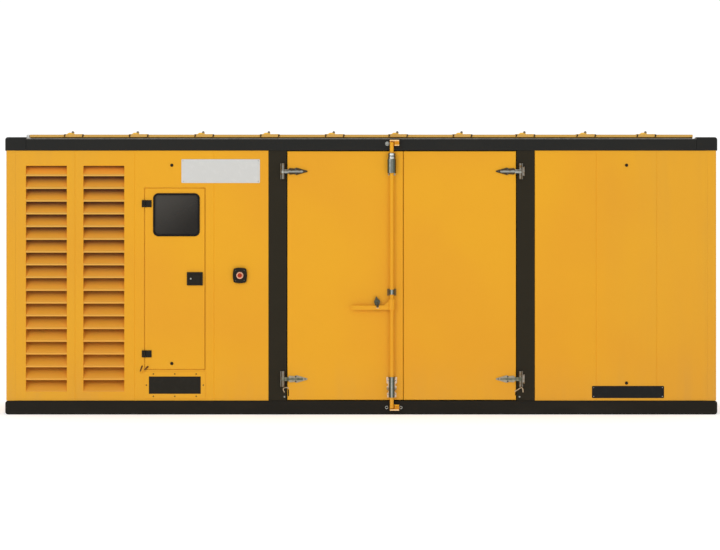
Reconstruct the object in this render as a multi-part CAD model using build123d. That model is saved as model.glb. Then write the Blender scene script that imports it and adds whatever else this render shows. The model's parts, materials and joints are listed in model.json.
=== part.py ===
from build123d import *
import math
import os

# Enclosed generator set in a frame with a standard container footprint.
# X runs along the enclosure, the front looks towards -Y and Z is up.
# The origin is on the ground under the middle of the footprint.

# Frame
length = 6058.0
width = 2438.0
frame_height = 2348.0
base_rail_height = 118.0
base_rail_depth = 120.0
rail_end_radius = 24.0
rail_edge_radius = 6.0
member_count = 7
member_width = 70.0
member_wall = 8.0
floor_thickness = 8.0
top_rail_height = 102.0
top_rail_depth = 100.0
cap_length = 178.0
cap_depth = 162.0
cap_rise = 12.0
cap_radius = 24.0
post_width = 155.0
post_depth = 68.0
corner_post_width = 78.0
corner_radius = 14.0
stop_width = 60.0
stop_thickness = 8.0

# Panels
panel_thickness = 60.0
panel_setback = 8.0
panel_edge_radius = 6.0
seam_gap = 1.0
seam_edge_radius = 2.0
intake_panel_width = 508.0
control_panel_width = 674.0
stop_panel_width = 464.0
door_opening_width = 1956.0
right_bay_shares = (0.356, 0.352, 0.292)
end_panel_count = 4

# Louvre units
louvre_width = 357.0
louvre_stile = 66.0
louvre_bottom = 72.0
louvre_top = 125.0
louvre_blades = 18
louvre_depth = 105.0
louvre_head = 93.0
louvre_sill_drop = 5.0
louvre_sheet = 4.0
louvre_lip = 12.0
louvre_overlap = 10.0
louvre_recess = 2.0

# Roof
roof_thickness = 34.0
roof_drip_height = 24.0
roof_drip_depth = 30.0
roof_setback = 18.0
roof_end_gap = 30.0
roof_bearing = 60.0
roof_edge_radius = 8.0
strap_shares = (0.0661, 0.164, 0.2628, 0.3617, 0.4596, 0.5554, 0.6523, 0.7471, 0.8389, 0.9297)
roof_strap_width = 165.0
roof_strap_thickness = 4.0
lug_length = 62.0
lug_rise = 12.0
lug_shoulder_share = 0.28
lug_shift = 26.0
lug_height = 13.0
lug_depth = 30.0
lug_knob_radius = 11.0
strap_lap = 20.0

# Pair of doors
door_gap = 6.0
door_split_gap = 5.5
split_groove_width = 9.0
split_groove_depth = 8.0
left_leaf_share = 0.507
hinge_height = 133.0
hinge_inset = 184.0
hinge_drop = 177.0
hinge_plate_width = 7.0
hinge_pin_radius = 7.0
hinge_knuckle_radius = 15.0
hinge_stand = 22.0
hinge_leaf_thickness = 8.0
hinge_pin_inset = 31.0
hinge_play = 1.0
running_clearance = 0.05
strap_reach = 207.0
strap_neck = 32.0
strap_shoulder = 56.0
strap_shoulder_run = 14.0
strap_waist = 48.0
strap_width = 64.0
strap_tip = 10.0
strap_rib_width = 18.0
strap_rib_rise = 5.0
strap_rib_share = 0.83
strap_waist_share = 0.47
strap_widest_share = 0.55

# Lock bar on the left door
rod_radius = 16.5
rod_chamfer = 4.0
rod_stand = 32.0
rod_inset = 95.75
rod_end_gap = 6.0
keeper_height = 50.0
keeper_level = 60.0
keeper_drop = 38.0
keeper_plate = 5.0
keeper_cheek = 38.0
keeper_flange = 11.0
keeper_dish = 16.0
keeper_ledge = 7.0
keeper_gap = 8.0
guide_width = 77.0
guide_wall = 8.0
guide_plate = 8.0
guide_top_flare = 15.0
guide_housing_width = 72.0
guide_housing_radius = 27.0
guide_cap_height = 54.0
guide_cap_wall = 13.5
guide_cap_chamfer = 12.0
guide_cap_groove = 4.0
guide_notch_width = 30.0
guide_notch_depth = 9.0
guide_scallop_radius = 13.0
guide_scallop_shares = (0.3, 0.62)
guide_top_height = 171.0
guide_middle_height = 58.0
guide_bottom_height = 173.0
guide_top_drop = 21.0
guide_bottom_rise = 28.0
guide_middle_level = 1041.0
handle_level = 909.0
handle_height = 37.0
handle_thickness = 12.0
handle_reach = 340.0
hub_wall = 9.0
hub_height = 90.0
gusset_reach = 92.0
gusset_rise = 64.0
gusset_thickness = 8.0
catch_offset = 124.0
catch_radius = 25.0
catch_tip_rise = 48.0
catch_tip_lean = 9.0
catch_tail = 42.0
catch_tail_width = 14.0
catch_plate = 6.0
catch_boss = 24.0
catch_clearance = 6.0

# Control door
control_door_width = 510.0
control_door_headroom = 321.0
control_door_thickness = 22.0
control_door_skin = 8.0
control_door_sill = 267.0
control_door_inset = 86.0
control_gap = 5.5
control_rebate = 15.0
window_width = 397.0
window_height = 367.0
window_radius = 45.0
window_left = 70.0
window_drop = 42.0
gasket_width = 16.0
gasket_lip = 8.0
gasket_rise = 5.0
gasket_seat = 8.0
gasket_play = 0.3
glass_thickness = 6.0
small_hinge_height = 60.0
small_hinge_base = 23.0
small_hinge_reach = 60.0
small_hinge_leaf = 6.0
small_hinge_stand = 12.0
small_hinge_knuckle = 8.5
small_hinge_pin = 4.0
small_hinge_inset = 131.0
lock_width = 135.0
lock_height = 113.0
lock_depth = 10.0
lock_radius = 5.0
lock_margin = 17.0
paddle_rise = 9.0
paddle_edge = 3.0
paddle_border = 18.0
key_radius = 9.0
key_rise = 6.0
key_share = 0.25
plug_radius = 13.5
plug_rise = 7.0
plug_edge = 3.0
plug_inset = 229.0
plug_drop = 125.0
plug_level = 150.0
door_plug_level = 49.0

# Cable entry
entry_width = 442.0
entry_height = 148.0
entry_level = 250.0
entry_border = 40.0
entry_frame_thickness = 4.0
entry_cover_thickness = 6.0

# Emergency stop
estop_width = 120.0
estop_height = 132.0
estop_bulge = 8.0
estop_corner = 12.0
estop_depth = 26.0
estop_edge = 5.0
estop_level = 1183.0
estop_inset = 243.0
collar_radius = 29.5
collar_height = 15.0
button_radius = 18.5
button_edge = 7.0
button_height = 17.0
button_stem = 12.0
button_entry = 8.0
button_gap = 9.0

# How far a cut runs past the face that it opens
overrun = 5.0

# Planes of the frame
half_length = length / 2
half_width = width / 2
rail_underside = frame_height - top_rail_height
wall_height = rail_underside - base_rail_height
end_face = half_length - panel_setback
side_face = half_width - panel_setback
wall_start = -end_face + corner_post_width
wall_end = end_face - corner_post_width

# Bays of the front, from left to right
intake_seam = wall_start + intake_panel_width
control_start = intake_seam + intake_panel_width
stop_start = control_start + control_panel_width
left_post_start = stop_start + stop_panel_width
opening_start = left_post_start + post_width
opening_end = opening_start + door_opening_width
right_bay_start = opening_end + post_width
right_bay_width = wall_end - right_bay_start

# Places of the four walls: local x along the wall, y = 0 on its outer face
front_wall = Pos(0, -side_face, base_rail_height)
right_wall = Rot(0, 0, 90) * Pos(0, -end_face, base_rail_height)
left_wall = Rot(0, 0, -90) * Pos(0, -end_face, base_rail_height)

# Doors and lock bar, seen on the front wall
leaf_split = opening_start + door_opening_width * left_leaf_share
left_pin_x = opening_start - hinge_pin_inset
right_pin_x = opening_end + hinge_pin_inset
pin_y = -side_face - hinge_stand
rod_x = leaf_split - door_split_gap / 2 - rod_inset
rod_y = -side_face - rod_stand
hinge_levels = (base_rail_height + hinge_inset, rail_underside - hinge_drop)

# Control door and its hinges
control_left = control_start + control_door_inset
control_right = control_left + control_door_width
control_bottom = base_rail_height + control_door_sill
control_top = rail_underside - control_door_headroom
control_pin_x = control_left - control_gap / 2
control_pin_y = -side_face - small_hinge_stand
control_hinge_levels = (control_bottom + small_hinge_inset, control_top - small_hinge_inset)
estop_x = left_post_start - estop_inset


def block(low, high):
    size = [b - a for a, b in zip(low, high)]
    middle = [(a + b) / 2 for a, b in zip(low, high)]
    return Pos(*middle) * Box(*size)


# Frame

def base_side_rail():
    inner = -half_width + base_rail_depth
    rail = block((-half_length, -half_width, 0), (half_length, inner, base_rail_height))
    rail = fillet(rail.edges().filter_by(Axis.Y), rail_end_radius)
    return fillet(rail.edges().group_by(Axis.Y)[0], rail_edge_radius)


def base_end_rail():
    reach = half_width - base_rail_depth
    rail = block((-half_length, -reach, 0), (-half_length + base_rail_depth, reach, base_rail_height))
    return fillet(rail.edges().filter_by(Axis.Y).group_by(Axis.X)[0], rail_end_radius)


# A channel that stands on the ground and carries the floor
def cross_member(x):
    height = base_rail_height - floor_thickness
    web = member_wall
    section = Rectangle(member_width, height)
    section -= Pos(web, 0) * Rectangle(member_width, height - 2 * web)
    span = half_width - base_rail_depth
    return Pos(x, 0, height / 2) * extrude(Plane.XZ * section, span, both=True)


def cross_members():
    step = (length - 2 * base_rail_depth) / (member_count + 1)
    return [cross_member((i - (member_count - 1) / 2) * step) for i in range(member_count)]


def floor_plate():
    x = half_length - base_rail_depth
    y = half_width - base_rail_depth
    return block((-x, -y, base_rail_height - floor_thickness), (x, y, base_rail_height))


def top_side_rail():
    reach = half_length - cap_length
    rail = block((-reach, -half_width, rail_underside), (reach, -half_width + top_rail_depth, frame_height))
    return fillet(rail.edges().filter_by(Axis.X).group_by(Axis.Y)[0], rail_edge_radius)


def top_end_rail():
    reach = half_width - cap_depth
    inner = -half_length + cap_length + roof_bearing
    low = (-half_length, -reach, rail_underside)
    return block(low, (inner, reach, frame_height)) - rail_notches(inner)


# The side rails run past the end rails, which are cut back to meet them
def rail_notches(inner):
    start = -half_length + cap_length
    reach = half_width - top_rail_depth
    outer = half_width + overrun
    low = rail_underside - overrun
    high = frame_height + overrun
    front = block((start, -outer, low), (inner + overrun, -reach, high))
    return front + mirror(front, about=Plane.XZ)


def corner_cap():
    low = (-half_length, -half_width, rail_underside)
    high = (-half_length + cap_length, -half_width + cap_depth, frame_height + cap_rise)
    cap = block(low, high)
    outer = cap.edges().filter_by(Axis.Y).group_by(Axis.X)[0].sort_by(Axis.Z)[-1]
    cap = fillet(outer, cap_radius)
    return fillet(cap.edges().group_by(Axis.Y)[0], rail_edge_radius)


def corner_post():
    low = (-end_face, -side_face, base_rail_height)
    high = (-end_face + corner_post_width, -side_face + corner_post_width, rail_underside)
    post = block(low, high)
    outer = post.edges().filter_by(Axis.Z).group_by(Axis.X)[0].sort_by(Axis.Y)[0]
    return fillet(outer, corner_radius)


def four_corners(piece):
    back = mirror(piece, about=Plane.XZ)
    return [piece, back, mirror(piece, about=Plane.YZ), mirror(back, about=Plane.YZ)]


def post(x):
    shape = block((x, 0, 0), (x + post_width, post_depth, wall_height))
    return fillet(shape.edges().filter_by(Axis.Z).group_by(Axis.Y)[0], panel_edge_radius)


def posts():
    front = [front_wall * post(x) for x in (left_post_start, opening_end)]
    return front + [mirror(p, about=Plane.XZ) for p in front]


# Flat bars behind the posts that the closed leaves come up to
def door_stop(x):
    low = (x - stop_width / 2, post_depth, 0)
    return front_wall * block(low, (x + stop_width / 2, post_depth + stop_thickness, wall_height))


# Walls

# Panel with bevelled edges, save on a side that meets a corner post
def plain_panel(start, end, left_bevel=True, right_bevel=True):
    low = (start + seam_gap / 2, 0, 0)
    panel = block(low, (end - seam_gap / 2, panel_thickness, wall_height))
    edges = list(panel.edges().group_by(Axis.Y)[0].sort_by(Axis.X))
    uprights = edges[:1] * left_bevel + edges[-1:] * right_bevel
    return chamfer(edges[1:-1] + uprights, seam_edge_radius)


def louvre_hole(left):
    low = (left, -overrun, louvre_bottom)
    return block(low, (left + louvre_width, panel_thickness + overrun, wall_height - louvre_top))


# Section of one weather blade: an upright lip, then a sheet that slopes up and inwards
def blade_section(pitch):
    run = louvre_depth - 2 * louvre_recess
    rise = pitch + louvre_overlap - louvre_lip
    drop = louvre_sheet * math.hypot(rise, run) / run
    crest = louvre_lip + rise
    inner_lip = louvre_lip + rise * louvre_sheet / run - drop
    outline = [(0, 0), (louvre_sheet, 0), (louvre_sheet, inner_lip)]
    outline += [(run, crest - drop), (run, crest), (0, louvre_lip)]
    return Plane.YZ * Polygon(*outline, align=None)


# Welded unit of a sheet ring and its blades
def louvre_unit(left):
    right = left + louvre_width
    bottom = louvre_bottom
    top = wall_height - louvre_top
    outer = block((left, 0, bottom), (right, louvre_depth, top))
    inner_low = (left + louvre_sheet, -overrun, bottom + louvre_sheet)
    inner = block(inner_low, (right - louvre_sheet, louvre_depth + overrun, top - louvre_sheet))
    first = bottom - louvre_sill_drop
    pitch = (top - louvre_head - first) / (louvre_blades - 1)
    blade = extrude(blade_section(pitch), louvre_width - louvre_sheet)
    start = left + louvre_sheet / 2
    blades = [Pos(start, louvre_recess, first + i * pitch) * blade for i in range(louvre_blades)]
    return (outer - inner) + [b & outer for b in blades]


def intake_lefts():
    return (intake_seam - louvre_stile - louvre_width, intake_seam + louvre_stile)


def intake_panels():
    first = plain_panel(wall_start, intake_seam, left_bevel=False)
    second = plain_panel(intake_seam, control_start)
    return [panel - louvre_hole(left) for panel, left in zip((first, second), intake_lefts())]


# Cut round the control door, this much wider than the door and this deep
def control_opening(margin, depth):
    low = (control_left - margin, -side_face - overrun, control_bottom - margin)
    return block(low, (control_right + margin, -side_face + depth, control_top + margin))


def control_panel():
    panel = front_wall * plain_panel(control_start, stop_start)
    panel -= control_opening(control_gap, control_door_skin + control_gap)
    panel -= control_opening(control_gap - control_rebate, panel_thickness + overrun)
    middle = (control_left + control_right) / 2
    entry = Box(entry_width, 2 * (panel_thickness + overrun), entry_height)
    return panel - Pos(middle, -side_face, entry_level) * entry


def right_bay_panels():
    edges = [right_bay_start]
    for share in right_bay_shares:
        edges.append(edges[-1] + share * right_bay_width)
    last = len(right_bay_shares) - 1
    spans = enumerate(zip(edges, edges[1:]))
    return [front_wall * plain_panel(a, b, right_bevel=i < last) for i, (a, b) in spans]


# The back repeats the bays of the front with plain panels in place of the doors
def back_panels():
    edges = [control_start, stop_start, left_post_start]
    panels = [plain_panel(a, b) for a, b in zip(edges, edges[1:])]
    panels += [plain_panel(opening_start, leaf_split), plain_panel(leaf_split, opening_end)]
    placed = [front_wall * p for p in panels] + right_bay_panels()
    return [mirror(p, about=Plane.XZ) for p in placed]


def end_panel_edges():
    start = -side_face + corner_post_width
    step = -2 * start / end_panel_count
    return [start + i * step for i in range(end_panel_count + 1)]


def end_panels():
    edges = end_panel_edges()
    spans = zip(edges, edges[1:])
    return [plain_panel(a, b, a > edges[0], b < edges[-1]) for a, b in spans]


def left_end_panels():
    return [left_wall * panel for panel in end_panels()]


def end_louvre_lefts():
    edges = end_panel_edges()
    return [(a + b - louvre_width) / 2 for a, b in zip(edges, edges[1:])]


def right_end_panels():
    pairs = zip(end_panels(), end_louvre_lefts())
    return [right_wall * (panel - louvre_hole(left)) for panel, left in pairs]


# Roof

def roof_edges():
    start = -half_length + cap_length + roof_end_gap
    span = -2 * start
    return [start] + [start + share * span for share in strap_shares] + [-start]


def roof_panel(start, end):
    reach = half_width - roof_setback
    top = frame_height + roof_thickness
    panel = block((start, -reach, top - roof_drip_height), (end, reach, top))
    panel = fillet(panel.edges().filter_by(Axis.X).group_by(Axis.Z)[-1], roof_edge_radius)
    foot = reach - roof_drip_depth
    return panel + block((start, -foot, frame_height), (end, foot, top - roof_drip_height))


# Wedge with a round knob that holds the strap down at the roof's edge
def edge_lug():
    half = lug_length / 2
    knob = half - lug_knob_radius
    shoulder = lug_length * lug_shoulder_share - half
    wedge = [(-half, 0), (half, 0), (half, lug_height), (knob, lug_height), (shoulder, lug_rise)]
    wedge = Polygon(*wedge, align=None)
    outline = wedge + Pos(knob, lug_height) * Circle(lug_knob_radius)
    return extrude(Plane.XZ * outline, -lug_depth)


# Cover strap over a roof seam, folded down over both edges of the roof
def roof_strap(x):
    edge = half_width - roof_setback
    reach = edge + roof_strap_thickness
    low = frame_height + roof_thickness
    high = low + roof_strap_thickness
    half = roof_strap_width / 2
    strap = block((x - half, -reach, low), (x + half, reach, high))
    lap = block((x - half, -reach, low - strap_lap), (x + half, -edge, low))
    lug = Pos(x - lug_shift, -reach, high) * edge_lug()
    end = lap + lug
    return strap + end + mirror(end, about=Plane.XZ)


# Hinges

# Moving half of a pin hinge about the local Z axis, with its leaf towards +X
def hinge_moving_half(knuckle_radius, pin_radius, stand, thickness, height, leaf_start):
    root = leaf_start + thickness
    outline = [(0, -knuckle_radius), (root, stand - thickness), (root, stand)]
    outline += [(leaf_start, stand), (knuckle_radius, 0)]
    section = Polygon(*outline, align=None) + Circle(knuckle_radius)
    section -= Circle(pin_radius + running_clearance)
    return extrude(section, height / 2, both=True)


# Fixed half: a plate, two knuckles that clear the moving one, and the pin
def hinge_fixed_half(knuckle_radius, pin_radius, stand, thickness, height, middle, plate_width):
    plate_end = -knuckle_radius
    outline = [(plate_end - plate_width, stand), (plate_end, stand), (-pin_radius, 0), (0, -knuckle_radius)]
    outline += [(plate_end, stand - thickness), (plate_end - plate_width, stand - thickness)]
    section = Polygon(*outline, align=None) + Circle(knuckle_radius)
    whole = extrude(section, height / 2, both=True)
    room = middle / 2 + hinge_play
    reach = knuckle_radius + stand
    whole -= block((plate_end, -reach, -room), (reach, reach, room))
    return whole + Cylinder(pin_radius, height)


# Strap leaf that swells past a waist and tapers to its tip
def strap_leaf():
    start = hinge_pin_inset + door_gap + panel_edge_radius
    waist = strap_reach * strap_waist_share
    widest = strap_reach * strap_widest_share
    half = [(start, strap_neck), (start + strap_shoulder_run, strap_shoulder)]
    half += [(waist, strap_waist), (widest, strap_width), (strap_reach, strap_tip)]
    lower = [(x, -w / 2) for x, w in half]
    upper = [(x, -z) for x, z in reversed(lower)]
    outline = Plane.XZ * Polygon(*(lower + upper), align=None)
    leaf = Pos(0, hinge_stand, 0) * extrude(outline, hinge_leaf_thickness)
    root = hinge_moving_half(hinge_knuckle_radius, hinge_pin_radius, hinge_stand, hinge_leaf_thickness,
                             strap_neck, start)
    return leaf + root + strap_rib(start)


# Raised rib along the middle of a strap, rounded at both ends
def strap_rib(start):
    length = strap_reach * strap_rib_share - start
    rib = extrude(Plane.XZ * SlotOverall(length, strap_rib_width), strap_rib_rise + hinge_leaf_thickness)
    return Pos(start + length / 2, hinge_stand, 0) * rib


def hinge_plate():
    return hinge_fixed_half(hinge_knuckle_radius, hinge_pin_radius, hinge_stand, hinge_leaf_thickness,
                            hinge_height, strap_neck, hinge_plate_width)


def left_hinges(piece):
    return [Pos(left_pin_x, pin_y, z) * piece for z in hinge_levels]


def right_hinges(piece):
    mirrored = mirror(piece, about=Plane.YZ)
    return [Pos(right_pin_x, pin_y, z) * mirrored for z in hinge_levels]


# Doors

def door_leaf(start, end):
    low = (start, -side_face, base_rail_height + door_gap)
    leaf = block(low, (end, -side_face + panel_thickness, rail_underside - door_gap)) - split_groove()
    return fillet(leaf.edges().group_by(Axis.Y)[0], panel_edge_radius)


# Shallow groove in front of the gap between the leaves
def split_groove():
    half = split_groove_width / 2
    low = (leaf_split - half, -side_face - overrun, 0)
    return block(low, (leaf_split + half, -side_face + split_groove_depth, frame_height))


# Lock bar

# The rod ends short of the outer flanges of its keepers
def rod_span():
    reach = keeper_height / 2 - keeper_flange - rod_end_gap
    return keeper_level - reach, frame_height - keeper_drop + reach


def lock_rod():
    low, high = rod_span()
    rod = Pos(rod_x, rod_y, (low + high) / 2) * Cylinder(rod_radius, high - low)
    return chamfer(rod.edges(), rod_chamfer)


# Saddle on the leaf that the rod turns in: a barrel and a neck behind it
def guide_barrel(low, high):
    body = guide_wall + rod_radius
    return block((-body, 0, low), (body, rod_stand, high)) + rod_cylinder(body, low, high)


def guide_foot(low, high, top_width):
    half = guide_width / 2
    top = top_width / 2
    outline = Polygon((-half, low), (half, low), (top, high), (-top, high), align=None)
    return Pos(0, rod_stand, 0) * extrude(Plane.XZ * outline, guide_plate)


def rod_cylinder(radius, low, high):
    return Pos(0, 0, (low + high) / 2) * Cylinder(radius, high - low)


def bored_guide(guide, low, high):
    bore = rod_cylinder(rod_radius + running_clearance, low - overrun, high + overrun)
    return Pos(rod_x, rod_y, 0) * (guide - bore)


# Upper guide: a rounded housing under two stacked collars
def top_guide(low, high):
    cap_low = high - guide_cap_height
    half = guide_housing_width / 2
    housing = block((-half, -guide_wall - rod_radius, low), (half, rod_stand, cap_low))
    guide = fillet(housing.edges().filter_by(Axis.Z).group_by(Axis.Y)[0], guide_housing_radius)
    middle = (cap_low + high) / 2
    for start, end, edge in ((cap_low, middle, guide_cap_groove), (middle, high, guide_cap_chamfer)):
        collar = rod_cylinder(rod_radius + guide_cap_wall, start, end)
        guide += chamfer(collar.edges().group_by(Axis.Z)[-1], edge)
    return bored_guide(guide, low, high)


# Middle guide: a foot with a notch at both ends of a shorter barrel
def middle_guide(low, high):
    guide = guide_foot(low, high, guide_width)
    for z in (low, high):
        guide -= Pos(0, rod_stand, z) * Box(guide_notch_width, 2 * rod_stand, 2 * guide_notch_depth)
    guide += guide_barrel(low + guide_notch_depth, high - guide_notch_depth)
    return bored_guide(guide, low, high)


# Lower guide: a foot that widens upwards, with scallops along both edges
def bottom_guide(low, high):
    top_width = guide_width + guide_top_flare
    guide = guide_foot(low, high, top_width) + guide_barrel(low, high)
    for share in guide_scallop_shares:
        reach = (guide_width + guide_top_flare * share) / 2
        for side in (-1, 1):
            place = Pos(side * reach, rod_stand, low + share * (high - low)) * Rot(90, 0, 0)
            guide -= place * Cylinder(guide_scallop_radius, 2 * (guide_plate + overrun))
    return bored_guide(guide, low, high)


def rod_guides():
    top = rail_underside - guide_top_drop
    bottom = base_rail_height + guide_bottom_rise
    middle = guide_middle_level - guide_middle_height / 2
    guides = [bottom_guide(bottom, bottom + guide_bottom_height)]
    guides.append(middle_guide(middle, middle + guide_middle_height))
    return guides + [top_guide(top - guide_top_height, top)]


# Dished bracket on the rail beside the rod's end, which its outer flange (1: above, -1: below) runs past
def rod_keeper(level, outer):
    stand = rod_stand - panel_setback
    cheek = rod_radius + keeper_gap
    right = cheek + keeper_cheek
    half = keeper_height / 2
    front = rod_radius + keeper_ledge
    keeper = block((-rod_radius, stand - keeper_plate, -half), (right, stand, half))
    keeper += block((cheek, keeper_dish - rod_radius, -half), (right, stand, half))
    flange = half - keeper_flange
    keeper += block((cheek, -front, -half), (right, stand, -flange))
    keeper += block((-rod_radius, -front, flange), (right, stand, half))
    keeper = keeper if outer > 0 else mirror(keeper, about=Plane.XY)
    return Pos(rod_x, rod_y, level) * keeper


# Flat bar on a hub, with a gusset that runs from the bar up to the hub
def lock_handle():
    low = -handle_height / 2
    hub = rod_cylinder(rod_radius + hub_wall, low, low + hub_height)
    bar = Pos(-handle_reach / 2, 0, 0) * Box(handle_reach, handle_thickness, handle_height)
    bar = fillet(bar.edges().filter_by(Axis.Y).group_by(Axis.X)[0], handle_thickness)
    corners = [(-gusset_reach, 0), (0, 0), (0, gusset_rise), (-rod_radius, gusset_rise)]
    gusset = Plane.XZ * Polygon(*corners, align=None)
    handle = hub + bar + extrude(gusset, gusset_thickness / 2, both=True)
    handle -= rod_cylinder(rod_radius + running_clearance, low - overrun, low + hub_height + overrun)
    return Pos(rod_x, rod_y, handle_level) * handle


# Teardrop catch above the handle, with a tail that runs down behind the bar
def handle_catch():
    middle = handle_height / 2 + catch_clearance + catch_radius
    tip = (-catch_tip_lean, middle + catch_tip_rise)
    head = Circle(catch_radius)
    drop = Pos(0, middle) * head + Polygon((-catch_radius, middle), (catch_radius, middle), tip, align=None)
    tail_half = catch_tail_width / 2
    tail_low = middle - catch_radius - catch_tail
    corners = [(-tail_half, tail_low), (tail_half, tail_low), (catch_radius, middle), (-catch_radius, middle)]
    tail = Polygon(*corners, align=None)
    plate = extrude(Plane.XZ * (drop + tail), catch_plate)
    boss = extrude(Plane.XZ * drop, catch_boss)
    return Pos(rod_x - catch_offset, -side_face, handle_level) * (plate + boss)


# Control door

def window_outline(inset):
    radius = window_radius - inset
    return RectangleRounded(window_width - 2 * inset, window_height - 2 * inset, radius)


# Slab of the window's outline between two distances behind the door's face
def window_slab(inset, front, back):
    x = control_left + window_left + window_width / 2
    z = control_top - window_drop - window_height / 2
    plane = Plane.XZ.offset(-front)
    return Pos(x, -side_face, z) * extrude(plane * window_outline(inset), front - back)


# Flanged skin over a smaller tray that enters the opening
def control_door_leaf():
    inner = -side_face + control_door_skin
    skin = block((control_left, -side_face, control_bottom), (control_right, inner, control_top))
    skin = fillet(skin.edges().group_by(Axis.Y)[0], panel_edge_radius)
    tray_low = (control_left + control_rebate, inner, control_bottom + control_rebate)
    back = -side_face + control_door_thickness
    tray = block(tray_low, (control_right - control_rebate, back, control_top - control_rebate))
    return skin + tray - window_slab(gasket_lip / 2, -overrun, control_door_thickness + overrun)


def window_gasket():
    seat = gasket_seat + glass_thickness
    ring = window_slab(0, -gasket_rise, 0)
    ring += window_slab(gasket_lip / 2 + gasket_play, 0, control_door_thickness)
    ring -= window_slab(gasket_width, -gasket_rise - overrun, control_door_thickness + overrun)
    return ring - window_slab(gasket_lip, gasket_seat, seat)


def window_glass():
    return window_slab(gasket_lip + gasket_play, gasket_seat, gasket_seat + glass_thickness)


def control_hinges(piece):
    return [Pos(control_pin_x, control_pin_y, z) * piece for z in control_hinge_levels]


def small_hinge_fixed():
    plate = small_hinge_base - small_hinge_knuckle
    return hinge_fixed_half(small_hinge_knuckle, small_hinge_pin, small_hinge_stand, small_hinge_leaf,
                            small_hinge_height, small_hinge_height / 2, plate)


def small_hinge_moving():
    start = control_gap / 2 + panel_edge_radius
    half = small_hinge_height / 2
    low = (start, small_hinge_stand - small_hinge_leaf, -half)
    leaf = block(low, (small_hinge_reach, small_hinge_stand, half))
    root = hinge_moving_half(small_hinge_knuckle, small_hinge_pin, small_hinge_stand, small_hinge_leaf,
                             half, start)
    return leaf + root


# Paddle latch: a dished plate with a raised paddle and a key barrel
def control_lock():
    plate = extrude(Plane.XZ * RectangleRounded(lock_width, lock_height, lock_radius), lock_depth)
    inner_width = lock_width - 2 * paddle_border
    inner_height = lock_height - 2 * paddle_border
    paddle = extrude(Plane.XZ * Rectangle(inner_width, inner_height), lock_depth + paddle_rise)
    paddle = chamfer(paddle.edges().group_by(Axis.Y)[0], paddle_edge)
    key = extrude(Plane.XZ * Circle(key_radius), lock_depth + paddle_rise + key_rise)
    key = Pos(-lock_width * key_share, 0, 0) * key
    x = control_right - lock_margin - lock_width / 2
    level = (control_bottom + control_top) / 2
    return Pos(x, -side_face, level) * (plate + paddle + key)


def plug():
    disc = extrude(Plane.XZ * Circle(plug_radius), plug_rise)
    return chamfer(disc.edges().group_by(Axis.Y)[0], plug_edge)


def plug_places():
    left = control_left + plug_inset
    edges = right_bay_start + right_bay_width * right_bay_shares[0]
    right = edges + right_bay_width * right_bay_shares[1] / 2
    low = base_rail_height + plug_level
    high = rail_underside - plug_drop
    panel = [(left, high), (right, high), (right, low)]
    return {"panel": panel, "door": (left, control_bottom + door_plug_level)}


# Cable entry

def entry_slab(border, front, back):
    middle = (control_left + control_right) / 2
    half_w = entry_width / 2 + border
    half_h = entry_height / 2 + border
    low = (middle - half_w, -side_face + front, entry_level - half_h)
    return block(low, (middle + half_w, -side_face + back, entry_level + half_h))


def cable_entry_frame():
    plate = entry_slab(entry_border, -entry_frame_thickness, 0)
    return plate - entry_slab(0, -overrun - entry_frame_thickness, overrun)


def cable_entry_cover():
    return entry_slab(0, 0, entry_cover_thickness)


# Emergency stop

# Housing whose four sides bulge and whose corners are rounded
def estop_plate():
    half_w = estop_width / 2
    half_h = estop_height / 2
    x = half_w - estop_bulge
    z = half_h - estop_bulge
    corners = [(-x, -z), (x, -z), (x, z), (-x, z)]
    bulges = [(0, -half_h), (half_w, 0), (0, half_h), (-half_w, 0)]
    ends = corners[1:] + corners[:1]
    outline = [ThreePointArc(a, m, b) for a, m, b in zip(corners, bulges, ends)]
    plate = extrude(Plane.XZ * make_face(outline), estop_depth)
    plate = fillet(plate.edges().filter_by(Axis.Y), estop_corner)
    plate = chamfer(plate.edges().group_by(Axis.Y)[0], estop_edge)
    return Pos(estop_x, -side_face, estop_level) * plate


def estop_collar():
    ring = Circle(collar_radius) - Circle(button_stem + running_clearance)
    collar = extrude(Plane.XZ * ring, collar_height)
    return Pos(estop_x, -side_face - estop_depth, estop_level) * collar


# Mushroom head on a stem that slides in the collar
def estop_button():
    head_back = collar_height + button_gap
    stem = Cylinder(button_stem, button_entry + button_gap)
    stem = Pos(0, 0, head_back - (button_entry + button_gap) / 2) * stem
    head = Pos(0, 0, head_back + button_height / 2) * Cylinder(button_radius, button_height)
    head = chamfer(head.edges().group_by(Axis.Z)[-1], button_edge)
    return Pos(estop_x, -side_face - estop_depth, estop_level) * Rot(90, 0, 0) * (stem + head)


def both_sides(piece):
    return [piece, mirror(piece, about=Plane.XZ)]


def both_ends(piece):
    return [piece, mirror(piece, about=Plane.YZ)]


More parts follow.
